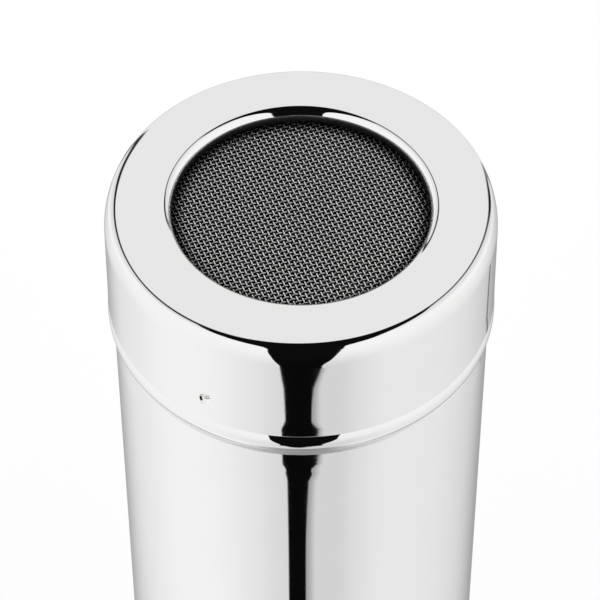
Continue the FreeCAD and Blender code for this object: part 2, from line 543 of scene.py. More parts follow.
def sheet_loop(points, normals, sheet, closed):
    """Whole outline of a sheet's section: points, normal angles and share of the back side.

    A closed one has two rounded ends. An open one has a rounded start and ends on the axis.
    """
    back_points = points - sheet * np.array([direction(one) for one in normals])
    start = round_end(points[0], normals[0], sheet, False)
    pieces = [start, (points, normals, np.zeros(len(points)))]
    if closed:
        pieces.append(round_end(points[-1], normals[-1], sheet, True))
    back = (back_points[::-1], normals[::-1] + math.pi, np.ones(len(points)))
    if closed:
        pieces.append(back)
    else:
        pieces.insert(0, back)
    return [np.concatenate(column) for column in zip(*pieces)]


# Angles round the axis that agree to this many decimals are one
TURN_DECIMALS = 6


def columns(step, places):
    """Angles round the axis: even steps, and finer ones (middle, reach, step) at places."""
    turns = set()
    for number in range(round(2 * math.pi / step)):
        one = number * step
        gap = [abs((one - middle + math.pi) % (2 * math.pi) - math.pi) - reach
               for middle, reach, _ in places]
        if not gap or min(gap) > step / 2:
            turns.add(round(one, TURN_DECIMALS))
    for middle, reach, fine in places:
        count = round(2 * reach / fine)
        for number in range(count + 1):
            turn = (middle - reach + number * fine) % (2 * math.pi)
            turns.add(round(turn, TURN_DECIMALS))
    return np.array(sorted(turns))


def dented_surface(outline, turns, dent):
    """Places and exact normals of an outline turned about the axis, with its dents."""
    points, normals, back = outline
    radius, height = points[:, 0:1], points[:, 1:2]
    share = back[:, None]
    turn = turns[None, :]
    swing = NUDGE / LID_RADIUS
    across = dent(turn + swing, height, share) - dent(turn - swing, height, share)
    across = across / (2 * NUDGE)
    along = dent(turn, height + NUDGE, share) - dent(turn, height - NUDGE, share)
    along = along / (2 * NUDGE)
    reach = radius - dent(turn, height, share)
    reach[points[:, 0] < ON_AXIS] = 0
    place = np.stack([reach * np.cos(turn), reach * np.sin(turn), height + 0 * turn], -1)
    lean, rise = np.cos(normals)[:, None], np.sin(normals)[:, None]
    radial = lean + 0 * turn
    tangent = lean * across
    facing = np.stack([
        radial * np.cos(turn) - tangent * np.sin(turn),
        radial * np.sin(turn) + tangent * np.cos(turn),
        rise + lean * along,
    ], -1)
    return place, facing / np.linalg.norm(facing, axis=-1, keepdims=True)


def strips(index, back, closed):
    """Faces between each row of vertices and the next, and their material slots."""
    rows, count = index.shape
    faces, slots = [], []
    for row in range(rows if closed else rows - 1):
        ahead = (row + 1) % rows
        inside = int(back[row] + back[ahead] > 1.0)
        for one in range(count):
            other = (one + 1) % count
            corners = [index[row, one], index[ahead, one], index[ahead, other], index[row, other]]
            faces.append(list(dict.fromkeys(int(corner) for corner in corners)))
            slots.append(inside)
    return faces, slots


def turned_mesh(name, outline, turns, closed, dent, materials):
    """Object of an outline turned about the axis, with one vertex where it meets the axis."""
    points, normals, back = outline
    place, facing = dented_surface(outline, turns, dent)
    index = np.zeros(place.shape[:2], int)
    vertices, vertex_normals = [], []
    for row in range(len(points)):
        if points[row, 0] < ON_AXIS:
            index[row] = len(vertices)
            vertices.append(place[row, 0])
            vertex_normals.append((0, 0, math.copysign(1, math.sin(normals[row]))))
        else:
            index[row] = range(len(vertices), len(vertices) + len(turns))
            vertices.extend(place[row])
            vertex_normals.extend(facing[row])
    faces, slots = strips(index, back, closed)
    mesh = bpy.data.meshes.new(name)
    mesh.from_pydata([tuple(v) for v in vertices], [], faces)
    for material in materials:
        mesh.materials.append(material)
    mesh.polygons.foreach_set("material_index", slots)
    mesh.polygons.foreach_set("use_smooth", [True] * len(faces))
    mesh.update()
    mesh.normals_split_custom_set_from_vertices([tuple(n) for n in vertex_normals])
    made = bpy.data.objects.new(name, mesh)
    bpy.context.scene.collection.objects.link(made)
    return made


def arc_gap(turn, middle):
    """Angle between two directions, from -180 to 180 degrees, in radians."""
    return (turn - middle + math.pi) % (2 * math.pi) - math.pi


def pip_directions(pips):
    """Direction of each pip about the axis."""
    step = 2 * math.pi / pips.count
    return [FRONT + pips.front_turn + number * step for number in range(pips.count)]


# Slope of a pip's wall, rise over run, by its share of the mouth's radius, and the
# samples from which its depth is added up
PIP_SLOPES = [
    (0, 0), (0.1, 2.6), (0.21, 3.5), (0.29, 1), (0.34, 0.4), (0.66, 0.38), (0.73, 0.6),
    (0.93, 0.58), (1, 0),
]
PIP_SAMPLES = 201


def pip_dents(pips, sheet):
    """Depth of the lid's skirt at a direction and height: blunt cones that point inwards."""
    shares = np.linspace(1, 0, PIP_SAMPLES)
    slopes = np.interp(shares, *zip(*PIP_SLOPES))
    depths = np.concatenate([[0], np.cumsum(slopes[1:] + slopes[:-1])])
    depths *= pips.depth / depths[-1]

    def dent(turn, height, back):
        total = 0
        for middle in pip_directions(pips):
            across = arc_gap(turn, middle) * LID_RADIUS
            distance = np.hypot(across, height - pips.height)
            reach = pips.mouth + 0.5 * sheet * back
            total = total + np.interp(distance / reach, shares[::-1], depths[::-1])
        return total

    return dent


# Width of a channel's sloping wall, and how far below the pips the cup has no dents
CHANNEL_WALL = 0.0005
CHANNEL_FLOOR = 0.004


def channel_dents(pips, cup, sheet):
    """Depth of the neck at a direction and height: L-shaped channels for the pips."""

    def dent(turn, height, back):
        total = 0
        for middle in pip_directions(pips):
            gap = arc_gap(turn, middle)
            along = np.clip(gap, -pips.twist, 0)
            run = np.hypot((gap - along) * cup.neck, height - pips.height)
            entry = np.hypot(gap * cup.neck, np.maximum(pips.height - height, 0))
            distance = np.minimum(run, entry)
            for share, half in ((1 - back, pips.channel_half), (back, pips.channel_half + sheet)):
                ramp = np.clip((half - distance) / CHANNEL_WALL + 0.5, 0, 1)
                total = total + share * pips.channel_depth * ramp**2 * (3 - 2 * ramp)
        return total * (height > pips.height - CHANNEL_FLOOR)

    return dent


def lid_side(lid):
    """Visible side of the lid's section, from the flange to the hem."""
    quarter = math.pi / 2
    edge = [
        (lid.edge, -lid.edge_turn),
        (lid.shoulder, -lid.shoulder_turn),
        (lid.skirt, lid.flare + lid.waist_turn + lid.edge_turn + lid.shoulder_turn - quarter),
        (lid.waist / lid.waist_turn, -lid.waist_turn),
    ]
    bends, _ = sheet_side((0, 0), 0, edge)
    width, fall = bends[-1, 0], -bends[-1, 1]
    groove = math.atan2(lid.groove_depth, lid.groove_height)
    opened = lid.flare + lid.foot_flare
    upper = lid.groove_edge * math.tan((groove + opened) / 2)
    lower = lid.groove_root * math.tan((groove + lid.lean) / 2)
    runs = [
        (lid.flange - lid.roll - lid.sheet / 2, 0),
        (lid.roll, -quarter),
        (LID_RADIUS - width - lid.opening - lid.roll, 0),
        *edge,
        (lid.groove_drop - lid.groove_height - fall - upper - lid.foot_bend - lid.foot, 0),
        (lid.foot_bend / lid.foot_flare, lid.foot_flare),
        (lid.foot, 0),
        (lid.groove_edge, -groove - opened),
        (math.hypot(lid.groove_depth, lid.groove_height) - upper - lower, 0),
        (lid.groove_root, groove + lid.lean),
        (lid.brow, -lid.brow_turn),
        (lid.crown, lid.brow_turn + lid.tuck_turn - lid.lean - lid.close),
        (lid.tuck, -lid.tuck_turn),
    ]
    start = (lid.opening, SHAKER_TOP - lid.flange + lid.sheet / 2)
    return sheet_side(start, quarter, runs)


# Rings of the cup's floor, as shares of its edge's radius
FLOOR_SHARES = (0.7, 0.35, 0)


def cup_side(cup, lid):
    """Visible side of the cup's section, from the rim down to the middle of its base."""
    quarter = math.pi / 2
    out = cup.radius - (cup.taper + cup.taper_bend / 2) * cup.taper_turn - cup.neck
    turn = math.atan2(out, cup.ledge_drop)
    inner = cup.ledge_root * math.tan(turn / 2)
    outer = cup.ledge_edge * math.tan((turn - cup.taper_turn) / 2)
    bend, slope = cup.floor_bend, cup.floor_turn
    lift = cup.floor_rise - 2 * bend * (1 - math.cos(slope))
    foot = cup.base_edge
    level = cup.ledge - cup.ledge_drop
    runs = [
        (cup.rim - lid.sheet / 2 - cup.ledge - inner, 0),
        (cup.ledge_root, turn),
        (math.hypot(out, cup.ledge_drop) - inner - outer, 0),
        (cup.ledge_edge, cup.taper_turn - turn),
        (cup.taper - outer, 0),
        (cup.taper_bend / cup.taper_turn, -cup.taper_turn),
        (level - cup.taper - cup.taper_bend - foot, 0),
        (foot, -quarter),
        (cup.ring, 0),
        (bend, -slope),
        (lift / math.sin(slope), 0),
        (bend, slope),
    ]
    points, normals = sheet_side((cup.neck, cup.rim - lid.sheet / 2), -quarter, runs)
    # The roundings take a little of the height, so it is set down and stretched to fit
    points[:, 1] -= points[:, 1].min()
    points[:, 1] *= (cup.rim - lid.sheet / 2) / points[0, 1]
    ends = [np.array([points[-1, 0] * share, points[-1, 1]]) for share in FLOOR_SHARES]
    points = np.vstack([points, ends])
    normals = np.concatenate([normals, [normals[-1]] * len(ends)])
    return points, normals


# Woven wire

WIRE_SIDES = 6
POINTS_PER_PITCH = 4

# How far inside the cloth's edge the wires' last points lie, at least
CLOTH_TRIM = 0.0001

# Stray: waves per metre, and how far the noise is spread so that it fills its range
STRAY_WAVES = 260
STRAY_SPREAD = 4.0

WEAVE_INPUTS = (
    ("Wire diameter", "NodeSocketFloat"),
    ("Pitch", "NodeSocketFloat"),
    ("Across", "NodeSocketVector"),
    ("Waves", "NodeSocketVector"),
    ("Turn", "NodeSocketFloat"),
    ("Side", "NodeSocketFloat"),
    ("Cloth radius", "NodeSocketFloat"),
    ("Middle height", "NodeSocketFloat"),
    ("Wires", "NodeSocketInt"),
    ("Points", "NodeSocketInt"),
    ("Unevenness", "NodeSocketFloat"),
    ("Seed", "NodeSocketInt"),
    ("Material", "NodeSocketMaterial"),
)


def parallel_lines(tree, given):
    """Straight lines side by side, turned into the wires' direction."""
    line = node(tree, "GeometryNodeCurvePrimitiveLine")
    reach = vector_of(tree, given["Cloth radius"])
    feed(tree, reach, line.inputs["End"])
    feed(tree, vector_maths(tree, "MULTIPLY", reach, (-1, -1, -1)), line.inputs["Start"])
    sampled = node(tree, "GeometryNodeResampleCurve", mode="COUNT")
    feed(tree, line.outputs[0], sampled.inputs["Curve"])
    feed(tree, given["Points"], sampled.inputs["Count"])

    places = node(tree, "GeometryNodeMeshLine", mode="OFFSET")
    feed(tree, given["Wires"], places.inputs["Count"])
    half = times(tree, maths(tree, "SUBTRACT", given["Wires"], 1.0), -0.5)
    first = vector_of(tree, y=times(tree, half, given["Pitch"]))
    feed(tree, first, places.inputs["Start Location"])
    feed(tree, vector_of(tree, y=given["Pitch"]), places.inputs["Offset"])
    spread = node(tree, "GeometryNodeInstanceOnPoints")
    feed(tree, places.outputs[0], spread.inputs["Points"])
    feed(tree, sampled.outputs[0], spread.inputs["Instance"])
    loose = node(tree, "GeometryNodeRealizeInstances")
    feed(tree, spread.outputs[0], loose.inputs[0])
    turned = node(tree, "GeometryNodeTransform")
    feed(tree, loose.outputs[0], turned.inputs["Geometry"])
    feed(tree, vector_of(tree, z=given["Turn"]), turned.inputs["Rotation"])
    return turned.outputs[0]


def within_disc(tree, lines, position, radius):
    """The lines without their points past a radius."""
    far = node(tree, "FunctionNodeCompare", data_type="FLOAT", operation="GREATER_THAN")
    feed(tree, vector_maths(tree, "LENGTH", position, output="Value"), far.inputs[0])
    feed(tree, maths(tree, "SUBTRACT", radius, CLOTH_TRIM), far.inputs[1])
    trimmed = node(tree, "GeometryNodeDeleteGeometry", domain="POINT")
    feed(tree, lines, trimmed.inputs["Geometry"])
    feed(tree, far.outputs[0], trimmed.inputs["Selection"])
    return trimmed.outputs[0]


def woven(tree, lines, position, given):
    """The lines at the cloth's height, up and down past each crossing and a little uneven."""
    phase = vector_maths(tree, "DOT_PRODUCT", position, given["Waves"], output="Value")
    wave = maths(tree, "COSINE", times(tree, phase, math.pi))
    height = times(tree, wave, times(tree, given["Side"], 0.5), given["Wire diameter"])
    rise = vector_of(tree, z=maths(tree, "ADD", height, given["Middle height"]))
    stray = node(tree, "ShaderNodeTexNoise", noise_dimensions="4D")
    feed(tree, position, stray.inputs["Vector"])
    feed(tree, given["Seed"], stray.inputs["W"])
    stray.inputs["Scale"].default_value = STRAY_WAVES
    stray.inputs["Detail"].default_value = 1
    amount = maths(tree, "SUBTRACT", stray.outputs[0], 0.5)
    amount = times(tree, amount, times(tree, given["Unevenness"], STRAY_SPREAD))
    sideways = node(tree, "ShaderNodeVectorMath", operation="SCALE")
    feed(tree, given["Across"], sideways.inputs[0])
    feed(tree, amount, sideways.inputs["Scale"])
    moved = node(tree, "GeometryNodeSetPosition")
    feed(tree, lines, moved.inputs["Geometry"])
    feed(tree, vector_maths(tree, "ADD", rise, sideways.outputs[0]), moved.inputs["Offset"])
    return moved.outputs[0]


def round_wires(tree, lines, given):
    """Smooth round wires along the lines."""
    ring = node(tree, "GeometryNodeCurvePrimitiveCircle", mode="RADIUS")
    ring.inputs["Resolution"].default_value = WIRE_SIDES
    feed(tree, times(tree, given["Wire diameter"], 0.5), ring.inputs["Radius"])
    tube = node(tree, "GeometryNodeCurveToMesh")
    feed(tree, lines, tube.inputs["Curve"])
    feed(tree, ring.outputs[0], tube.inputs["Profile Curve"])
    tube.inputs["Fill Caps"].default_value = True
    smooth = node(tree, "GeometryNodeSetShadeSmooth")
    feed(tree, tube.outputs[0], smooth.inputs["Geometry"])
    return smooth.outputs[0]


def weave_tree():
    """Node group of one set of parallel wires that pass over and under another set."""
    tree = bpy.data.node_groups.new("woven_wires", "GeometryNodeTree")
    for name, kind in WEAVE_INPUTS:
        tree.interface.new_socket(name=name, in_out="INPUT", socket_type=kind)
    tree.interface.new_socket(name="Geometry", in_out="OUTPUT", socket_type="NodeSocketGeometry")
    given = node(tree, "NodeGroupInput").outputs
    position = node(tree, "GeometryNodeInputPosition").outputs[0]
    lines = parallel_lines(tree, given)
    lines = within_disc(tree, lines, position, given["Cloth radius"])
    lines = woven(tree, lines, position, given)
    real = node(tree, "GeometryNodeRealizeInstances")
    feed(tree, round_wires(tree, lines, given), real.inputs[0])
    finish = node(tree, "GeometryNodeSetMaterial")
    feed(tree, real.outputs[0], finish.inputs["Geometry"])
    feed(tree, given["Material"], finish.inputs["Material"])
    end = node(tree, "NodeGroupOutput")
    feed(tree, finish.outputs[0], end.inputs[0])
    return tree


def plain_mesh(name, tree, values):
    """Object made of a node group's result, with the named inputs set to these values."""
    made = bpy.data.objects.new(name, bpy.data.meshes.new(name + "_empty"))
    bpy.context.scene.collection.objects.link(made)
    modifier = made.modifiers.new("nodes", "NODES")
    modifier.node_group = tree
    for item in tree.interface.items_tree:
        if item.in_out == "INPUT":
            modifier[item.identifier] = values[item.name]
    graph = bpy.context.evaluated_depsgraph_get()
    result = bpy.data.meshes.new_from_object(made.evaluated_get(graph), depsgraph=graph)
    made.modifiers.clear()
    made.data = result
    result.name = name
    if not result.polygons:
        raise RuntimeError(name + " came out empty")
    return made


# Operators

# Turned meshes: the usual step round the axis, and finer steps round it and up it at a pip
# and at a channel, with how far they reach
ROUND_STEP = math.radians(2)
PIP_STEP, PIP_ROW_STEP, PIP_REACH = math.radians(0.2), 0.00012, 0.0024
CHANNEL_STEP, CHANNEL_ROW_STEP, CHANNEL_REACH = math.radians(0.25), 0.0002, 0.0025
CHANNEL_TURN_REACH = math.radians(4.5)

# Heights of two more rows, between the channels and the neck's rim
NECK_ROWS = (0.108, 0.112)

# Grain of the steel that isn't polished: noise in waves per metre, then roughness from and to
LID_INSIDE = (900, 0.2, 0.35)
CUP_INSIDE = (900, 0.25, 0.4)
RING_FINISH = (700, 0.15, 0.3)

# How far past the flange's inner side its steel is fully dull and darkened with painted shade
FLANGE_SKIN = 0.00005


class SHAKER_OT_lid(bpy.types.Operator):
    """Press the lid, with its opening, pips, groove and hem"""

    bl_idname = "shaker.lid"
    bl_label = "Lid"

    def execute(self, context):
        scene = context.scene
        lid, pips, colours = scene.shaker_lid, scene.shaker_pips, scene.shaker_colours
        rows = np.arange(pips.height - PIP_REACH, pips.height + PIP_REACH, PIP_ROW_STEP)
        outline = sheet_loop(*with_rows(*lid_side(lid), rows), lid.sheet, True)
        places = [(one, PIP_REACH / LID_RADIUS, PIP_STEP) for one in pip_directions(pips)]
        within = lid.opening + FLANGE_SKIN
        # The flange's steel is dull, and painted shade darkens it
        outside = polished_steel("polished_lid", colours.polished, dull_and_shaded_within=within)
        inside = drawn_steel("inside_lid", colours.inside, *LID_INSIDE)
        made = turned_mesh(
            "lid_pressing",
            outline,
            columns(ROUND_STEP, places),
            True,
            pip_dents(pips, lid.sheet),
            [outside, inside],
        )
        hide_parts("lid_shell")
        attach(made, "lid")
        return {"FINISHED"}


class SHAKER_OT_cup(bpy.types.Operator):
    """Draw the cup, with its base, ledge and the channels in its neck"""

    bl_idname = "shaker.cup"
    bl_label = "Cup"

    def execute(self, context):
        scene = context.scene
        lid, cup, pips = scene.shaker_lid, scene.shaker_cup, scene.shaker_pips
        low, high = pips.height - CHANNEL_REACH, pips.height + CHANNEL_REACH
        rows = [*np.arange(low, high, CHANNEL_ROW_STEP), *NECK_ROWS]
        outline = sheet_loop(*with_rows(*cup_side(cup, lid), rows), lid.sheet, False)
        places = []
        for one in pip_directions(pips):
            for middle in (one, one - pips.twist):
                places.append((middle, CHANNEL_TURN_REACH, CHANNEL_STEP))
        colours = scene.shaker_colours
        satin = cup.ledge - cup.ledge_drop
        outside = polished_steel("polished_cup", colours.polished, satin_from=satin)
        inside = drawn_steel("inside_cup", colours.inside, *CUP_INSIDE)
        made = turned_mesh(
            "cup_drawing",
            outline,
            columns(ROUND_STEP, places),
            False,
            channel_dents(pips, cup, lid.sheet),
            [outside, inside],
        )
        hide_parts("cup")
        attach(made, "cup")
        return {"FINISHED"}


class SHAKER_OT_ring(bpy.types.Operator):
    """Finish the sieve ring"""

    bl_idname = "shaker.ring"
    bl_label = "Sieve ring"

    def execute(self, context):
        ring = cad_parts["sieve_ring"]
        tint = context.scene.shaker_colours.pressed
        ring.data.materials.clear()
        ring.data.materials.append(drawn_steel("pressed_ring", tint, *RING_FINISH))
        return {"FINISHED"}


class SHAKER_OT_cloth(bpy.types.Operator):
    """Weave the wire cloth"""

    bl_idname = "shaker.cloth"
    bl_label = "Wire cloth"

    def execute(self, context):
        cloth = context.scene.shaker_cloth
        colours = context.scene.shaker_colours
        opening = context.scene.shaker_lid.opening
        radius = CLOTH_HIGH.x
        middle = (CLOTH_LOW.z + CLOTH_HIGH.z) / 2
        # The weft's darker tint is painted shade on one of two sets of the same wire
        tints = {"warp": colours.warp, "shaded_weft": colours.shaded_weft}
        turns = {"warp": cloth.warp_turn, "shaded_weft": cloth.weft_turn}
        pitch = {"warp": cloth.warp_pitch, "shaded_weft": cloth.weft_pitch}
        across = {name: Vector((math.cos(turn), math.sin(turn), 0)) for name, turn in turns.items()}
        waves = across["warp"] / pitch["warp"] + across["shaded_weft"] / pitch["shaded_weft"]
        tree = weave_tree()
        for name, other, side in (("warp", "shaded_weft", 1.0), ("shaded_weft", "warp", -1.0)):
            steel = wire_steel(name + "_wire", tints[name], middle, cloth.wire, opening)
            made = plain_mesh(name + "_wires", tree, {
                "Wire diameter": cloth.wire,
                "Pitch": pitch[name],
                "Across": across[name],
                "Waves": waves,
                "Turn": turns[name] - math.pi / 2,
                "Side": side,
                "Cloth radius": radius,
                "Middle height": middle,
                "Wires": 2 * math.floor(radius / pitch[name]) + 1,
                "Points": round(2 * radius * POINTS_PER_PITCH / pitch[other]) + 1,
                "Unevenness": cloth.uneven,
                "Seed": cloth.seed + int(side),
                "Material": steel,
            })
            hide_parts("sieve_cloth")
            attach(made, "sieve")
        return {"FINISHED"}


# Light tent: directions are given in degrees, by their swing to the right and their tip from
# straight up towards the camera

# Swing of the dark slot's edges by their tip, coarse above the join and fine below it
SLOT_JOIN = 132
SLOT_LEFT = [
    (-40, 4), (-30, 9), (-19, 15), (-6, 18), (6, 17.3), (15, 15.8), (24, 14.5), (33, 14.2),
    (42, 14.6), (52.6, 15.2), (70, 16), (90, 16.6), (97.8, 15.8), (103.8, 14.7), (110, 13.6),
    (119, 11.6), (127, 9.6), (132, 8.7),
]
SLOT_LEFT_LOW = [
    (132, 8.7), (136, 8.6), (138.3, 8.4), (138.7, 7.9), (138.9, 7.7), (139.05, 7.5), (139.3, 7),
    (139.5, 6.75), (139.7, 6.4), (139.95, 6.15), (140.4, 6.3), (141.2, 5.8), (142.1, 5.5),
    (142.9, 5.2), (144.5, 4.9), (146, 4.4), (148, 3.6), (150, 2), (152, 0.5), (156, 0),
]
SLOT_RIGHT = [
    (-40, 7), (-31, 11), (-19, 15), (-9, 14.5), (1, 15), (13.5, 15), (28, 15.7), (42, 17.5),
    (57, 19.3), (73, 20.3), (92, 19.4), (98, 18), (104, 16.5), (110, 14.9), (116, 13.1),
    (122, 10.8), (128, 9), (132, 8.3),
]
SLOT_RIGHT_LOW = [
    (132, 8.3), (136, 8.2), (138.1, 8), (138.4, 7.6), (138.6, 7), (138.75, 6.3), (139.1, 5),
    (139.3, 4.4), (139.5, 4), (139.8, 3.9), (140.3, 4.2), (141, 3.6), (141.8, 2.8), (142.1, 2.4),
    (142.5, 2), (142.9, 1.7), (145, 1.6), (147, 0.8), (148.5, 0), (156, 0),
]

# Frame of the panel: distance from the panel's middle, half width and darkness, by direction
PANEL_TIP = -43.5
FRAME_REACH = [
    (-180, 95), (-165, 80), (-151, 58), (-146, 46), (-143, 38), (-140, 31), (-132, 23.5),
    (-117, 18), (-97, 14), (-83, 15), (-66, 19.5), (-50, 25), (-38, 26.4), (-28, 26), (-18, 22),
    (-9, 14), (0, 9.5), (10, 9), (19, 10), (41, 12), (61, 13.5), (82, 18), (99, 24.3),
    (112, 29.8), (124, 37.7), (133, 46.4), (140, 54.3), (146, 62), (152, 69.6), (158, 77.2),
    (165, 83.5), (171, 87.8), (180, 95),
]
FRAME_WIDTH = [
    (-180, 3), (-160, 6), (-146, 8.5), (-138, 9), (-112, 8.5), (-95, 7.5), (-75, 7), (-60, 6.5),
    (-45, 7.5), (-28, 9), (-9, 6), (0, 4.5), (19, 5), (34, 6.5), (45, 6.5), (61, 6), (90, 6.5),
    (107, 8), (124, 7), (150, 6), (165, 4), (180, 3),
]
FRAME_STRENGTH = [
    (-180, 0.5), (-160, 0.7), (-146, 0.95), (-75, 1), (-28, 1), (34, 1), (45, 0.95), (85, 0.9),
    (104, 1), (123, 0.9), (156, 0.7), (168, 0.7), (180, 0.5),
]

# Top of each curve's range, which also sets how its points are rounded
COARSE_MOST, FINE_MOST = 24, 12
REACH_MOST, WIDTH_MOST = 180, 12

# Angles over which the slot, the tail beside it and the panel's edge set in, and shares of
# its half width over which the frame fades
SLOT_JOIN_TIPS = (SLOT_JOIN - 0.5, SLOT_JOIN + 0.5)
SLOT_START_TIPS = (-60, -50)
SLOT_END_TIPS = (150, 152)
SLOT_LEFT_EDGE = (-0.3, 0.3)
SLOT_RIGHT_EDGE = (-0.35, 0.5)
TAIL_TIPS = (136, 139)
TAIL_SWINGS = (0, 4)
FRAME_EDGE_SHARES = (0.3, 1.0)
PANEL_EDGE = (-1.5, 1.5)

# Angles over which lesser things set in: a post, the room behind, what lies under the
# camera, the halo round the frame and the dimmer light from low directions
POST_SWING = 21.9
POST_SWINGS = (0.4, 1.5)
POST_TIPS = (-140, -137)
POST_LIFTS = (-49, -48.3)
REAR_TIPS = (-125, -80)
REAR_SWINGS = (8, 35)
UNDER_TIPS = (156, 168)
UNDER_SWINGS = (5, 15)
HALO_WIDTH = (0, 45)
LOW_LIFTS = (-50, 5)

# Darkness of these and of the panel, where 1 is black, and the tent's full light
TAIL_DARK = 0.45
POST_DARK = 0.75
REAR_DARK = 0.5
UNDER_DARK = 0.62
HALO_DARK = 0.22
PANEL_DARK = 0.12
FULL_LIGHT = 1.004

# Share of light from low directions, by their turn from the front to the right
LOW_LIGHT = [
    (-180, 0.86), (-130, 0.86), (-75, 0.98), (-30, 0.86), (-14.5, 0.77), (0, 0.72), (19, 0.71),
    (34.6, 0.8), (60, 0.88), (89, 0.86), (129, 0.75), (150, 0.72), (180, 0.86),
]


def degrees_of(tree, operation, *inputs):
    """Angle by an inverse function, in degrees."""
    return times(tree, maths(tree, operation, *inputs), 180 / math.pi)


def sky_angles(tree):
    """A direction's swing and tip, its lift above the horizon and its turn from the front."""
    x, y, z = parts_of(tree, node(tree, "ShaderNodeTexCoord").outputs["Generated"])
    ahead = times(tree, y, -1.0)
    swing = degrees_of(tree, "ARCSINE", x)
    tip = degrees_of(tree, "ARCTAN2", ahead, z)
    lift = degrees_of(tree, "ARCSINE", z)
    turn = degrees_of(tree, "ARCTAN2", x, ahead)
    return swing, tip, lift, turn


def near_swing(tree, swing, middle, reach):
    """1 near a middle swing, falling to 0 over a reach, which is from one angle to another."""
    gap = maths(tree, "ABSOLUTE", maths(tree, "SUBTRACT", swing, middle))
    return between(tree, gap, *reach, 1.0, 0.0)


def dark_slot(tree, swing, tip):
    """Darkness of the slot that runs over the shaker and down past the camera."""
    lower = between(tree, tip, *SLOT_JOIN_TIPS)

    def edge(coarse, fine):
        """Swing of one edge of the slot."""
        mixed = node(tree, "ShaderNodeMix")
        feed(tree, lower, mixed.inputs[0])
        feed(tree, curve_of(tree, tip, coarse, COARSE_MOST), mixed.inputs[2])
        feed(tree, curve_of(tree, tip, fine, FINE_MOST), mixed.inputs[3])
        return mixed.outputs[0]

    left = maths(tree, "ADD", swing, edge(SLOT_LEFT, SLOT_LEFT_LOW))
    right = maths(tree, "SUBTRACT", swing, edge(SLOT_RIGHT, SLOT_RIGHT_LOW))
    tail = times(tree, between(tree, tip, *TAIL_TIPS), TAIL_DARK)
    tail = times(tree, tail, between(tree, right, *TAIL_SWINGS, 1.0, 0.0))
    within = between(tree, right, *SLOT_RIGHT_EDGE, 1.0, 0.0)
    return times(
        tree,
        between(tree, left, *SLOT_LEFT_EDGE),
        maths(tree, "MAXIMUM", within, tail),
        between(tree, tip, *SLOT_START_TIPS),
        between(tree, tip, *SLOT_END_TIPS, 1.0, 0.0),
    )


def panel_frame(tree, swing, tip):
    """How far a direction is past the frame of the panel, and the frame's darkness there."""
    rise = maths(tree, "SUBTRACT", tip, PANEL_TIP)
    around = degrees_of(tree, "ARCTAN2", swing, rise)
    reach = vector_maths(tree, "LENGTH", vector_of(tree, swing, rise), output="Value")
    past = maths(tree, "SUBTRACT", reach, curve_of(tree, around, FRAME_REACH, REACH_MOST))
    width = curve_of(tree, around, FRAME_WIDTH, WIDTH_MOST)
    off_middle = maths(tree, "DIVIDE", maths(tree, "ABSOLUTE", past), width)
    strength = curve_of(tree, around, FRAME_STRENGTH, 1)
    return past, times(tree, between(tree, off_middle, *FRAME_EDGE_SHARES, 1.0, 0.0), strength)


def studio_world():
    """White light tent: a panel behind the shaker in a dark frame, and a dark slot."""
    world = bpy.data.worlds.new("light_tent")
    world.use_nodes = True
    tree = world.node_tree
    tree.nodes.clear()
    swing, tip, lift, turn = sky_angles(tree)
    past, rim = panel_frame(tree, swing, tip)
    outside = between(tree, past, *PANEL_EDGE)
    slot = times(tree, dark_slot(tree, swing, tip), outside)
    halo = times(tree, outside, between(tree, past, *HALO_WIDTH, HALO_DARK, 0.0))
    post = times(
        tree,
        near_swing(tree, swing, POST_SWING, POST_SWINGS),
        between(tree, tip, *POST_TIPS, 1.0, 0.0),
        between(tree, lift, *POST_LIFTS),
        POST_DARK,
    )
    rear = times(
        tree,
        between(tree, tip, *REAR_TIPS, 1.0, 0.0),
        near_swing(tree, swing, 0.0, REAR_SWINGS),
        REAR_DARK,
    )
    under = times(
        tree,
        near_swing(tree, swing, 0.0, UNDER_SWINGS),
        between(tree, tip, *UNDER_TIPS),
        UNDER_DARK,
    )
    dark = folded(tree, "MAXIMUM", slot, rim, post, under, rear, halo)
    light = maths(tree, "SUBTRACT", FULL_LIGHT, dark)
    low = maths(tree, "SUBTRACT", 1.0, curve_of(tree, turn, LOW_LIGHT, 1))
    dim = times(tree, low, between(tree, lift, *LOW_LIFTS, 1.0, 0.0))
    panel = times(tree, maths(tree, "SUBTRACT", 1.0, outside), PANEL_DARK)
    light = times(tree, light, maths(tree, "SUBTRACT", 1.0, maths(tree, "MAXIMUM", dim, panel)))
    seen = node(tree, "ShaderNodeLightPath").outputs["Is Camera Ray"]
    shader = node(tree, "ShaderNodeBackground")
    shader.inputs["Color"].default_value = (1, 1, 1, 1)
    feed(tree, maths(tree, "MAXIMUM", light, seen), shader.inputs["Strength"])
    output = node(tree, "ShaderNodeOutputWorld")
    feed(tree, shader.outputs[0], output.inputs[0])
    bpy.context.scene.world = world


# Floor: half its width in metres, how brightly it glows to the camera, and that glow's share
FLOOR_REACH = 4.0
FLOOR_GLOW = 1.16
FLOOR_GLOW_SHARE = 0.72

# Camera: lens and sensor in millimetres, what it can see and its distance in metres, its angle
# above the horizon, and how it is turned off the middle of the shaker's top
CAMERA_LENS = 182.073
CAMERA_SENSOR = 36
CAMERA_NEAR, CAMERA_FAR = 0.05, 20
CAMERA_AWAY = 0.53621
CAMERA_LIFT = math.radians(46.474)
CAMERA_ROLL, CAMERA_PITCH, CAMERA_YAW = (math.radians(one) for one in (-0.149, -1.8215, 0.0171))


def mixed_shader(tree, share, first, second):
    """Node that mixes a share of the second shader into the first."""
    made = node(tree, "ShaderNodeMixShader")
    for source, socket in zip((share, first.outputs[0], second.outputs[0]), made.inputs):
        feed(tree, source, socket)
    return made


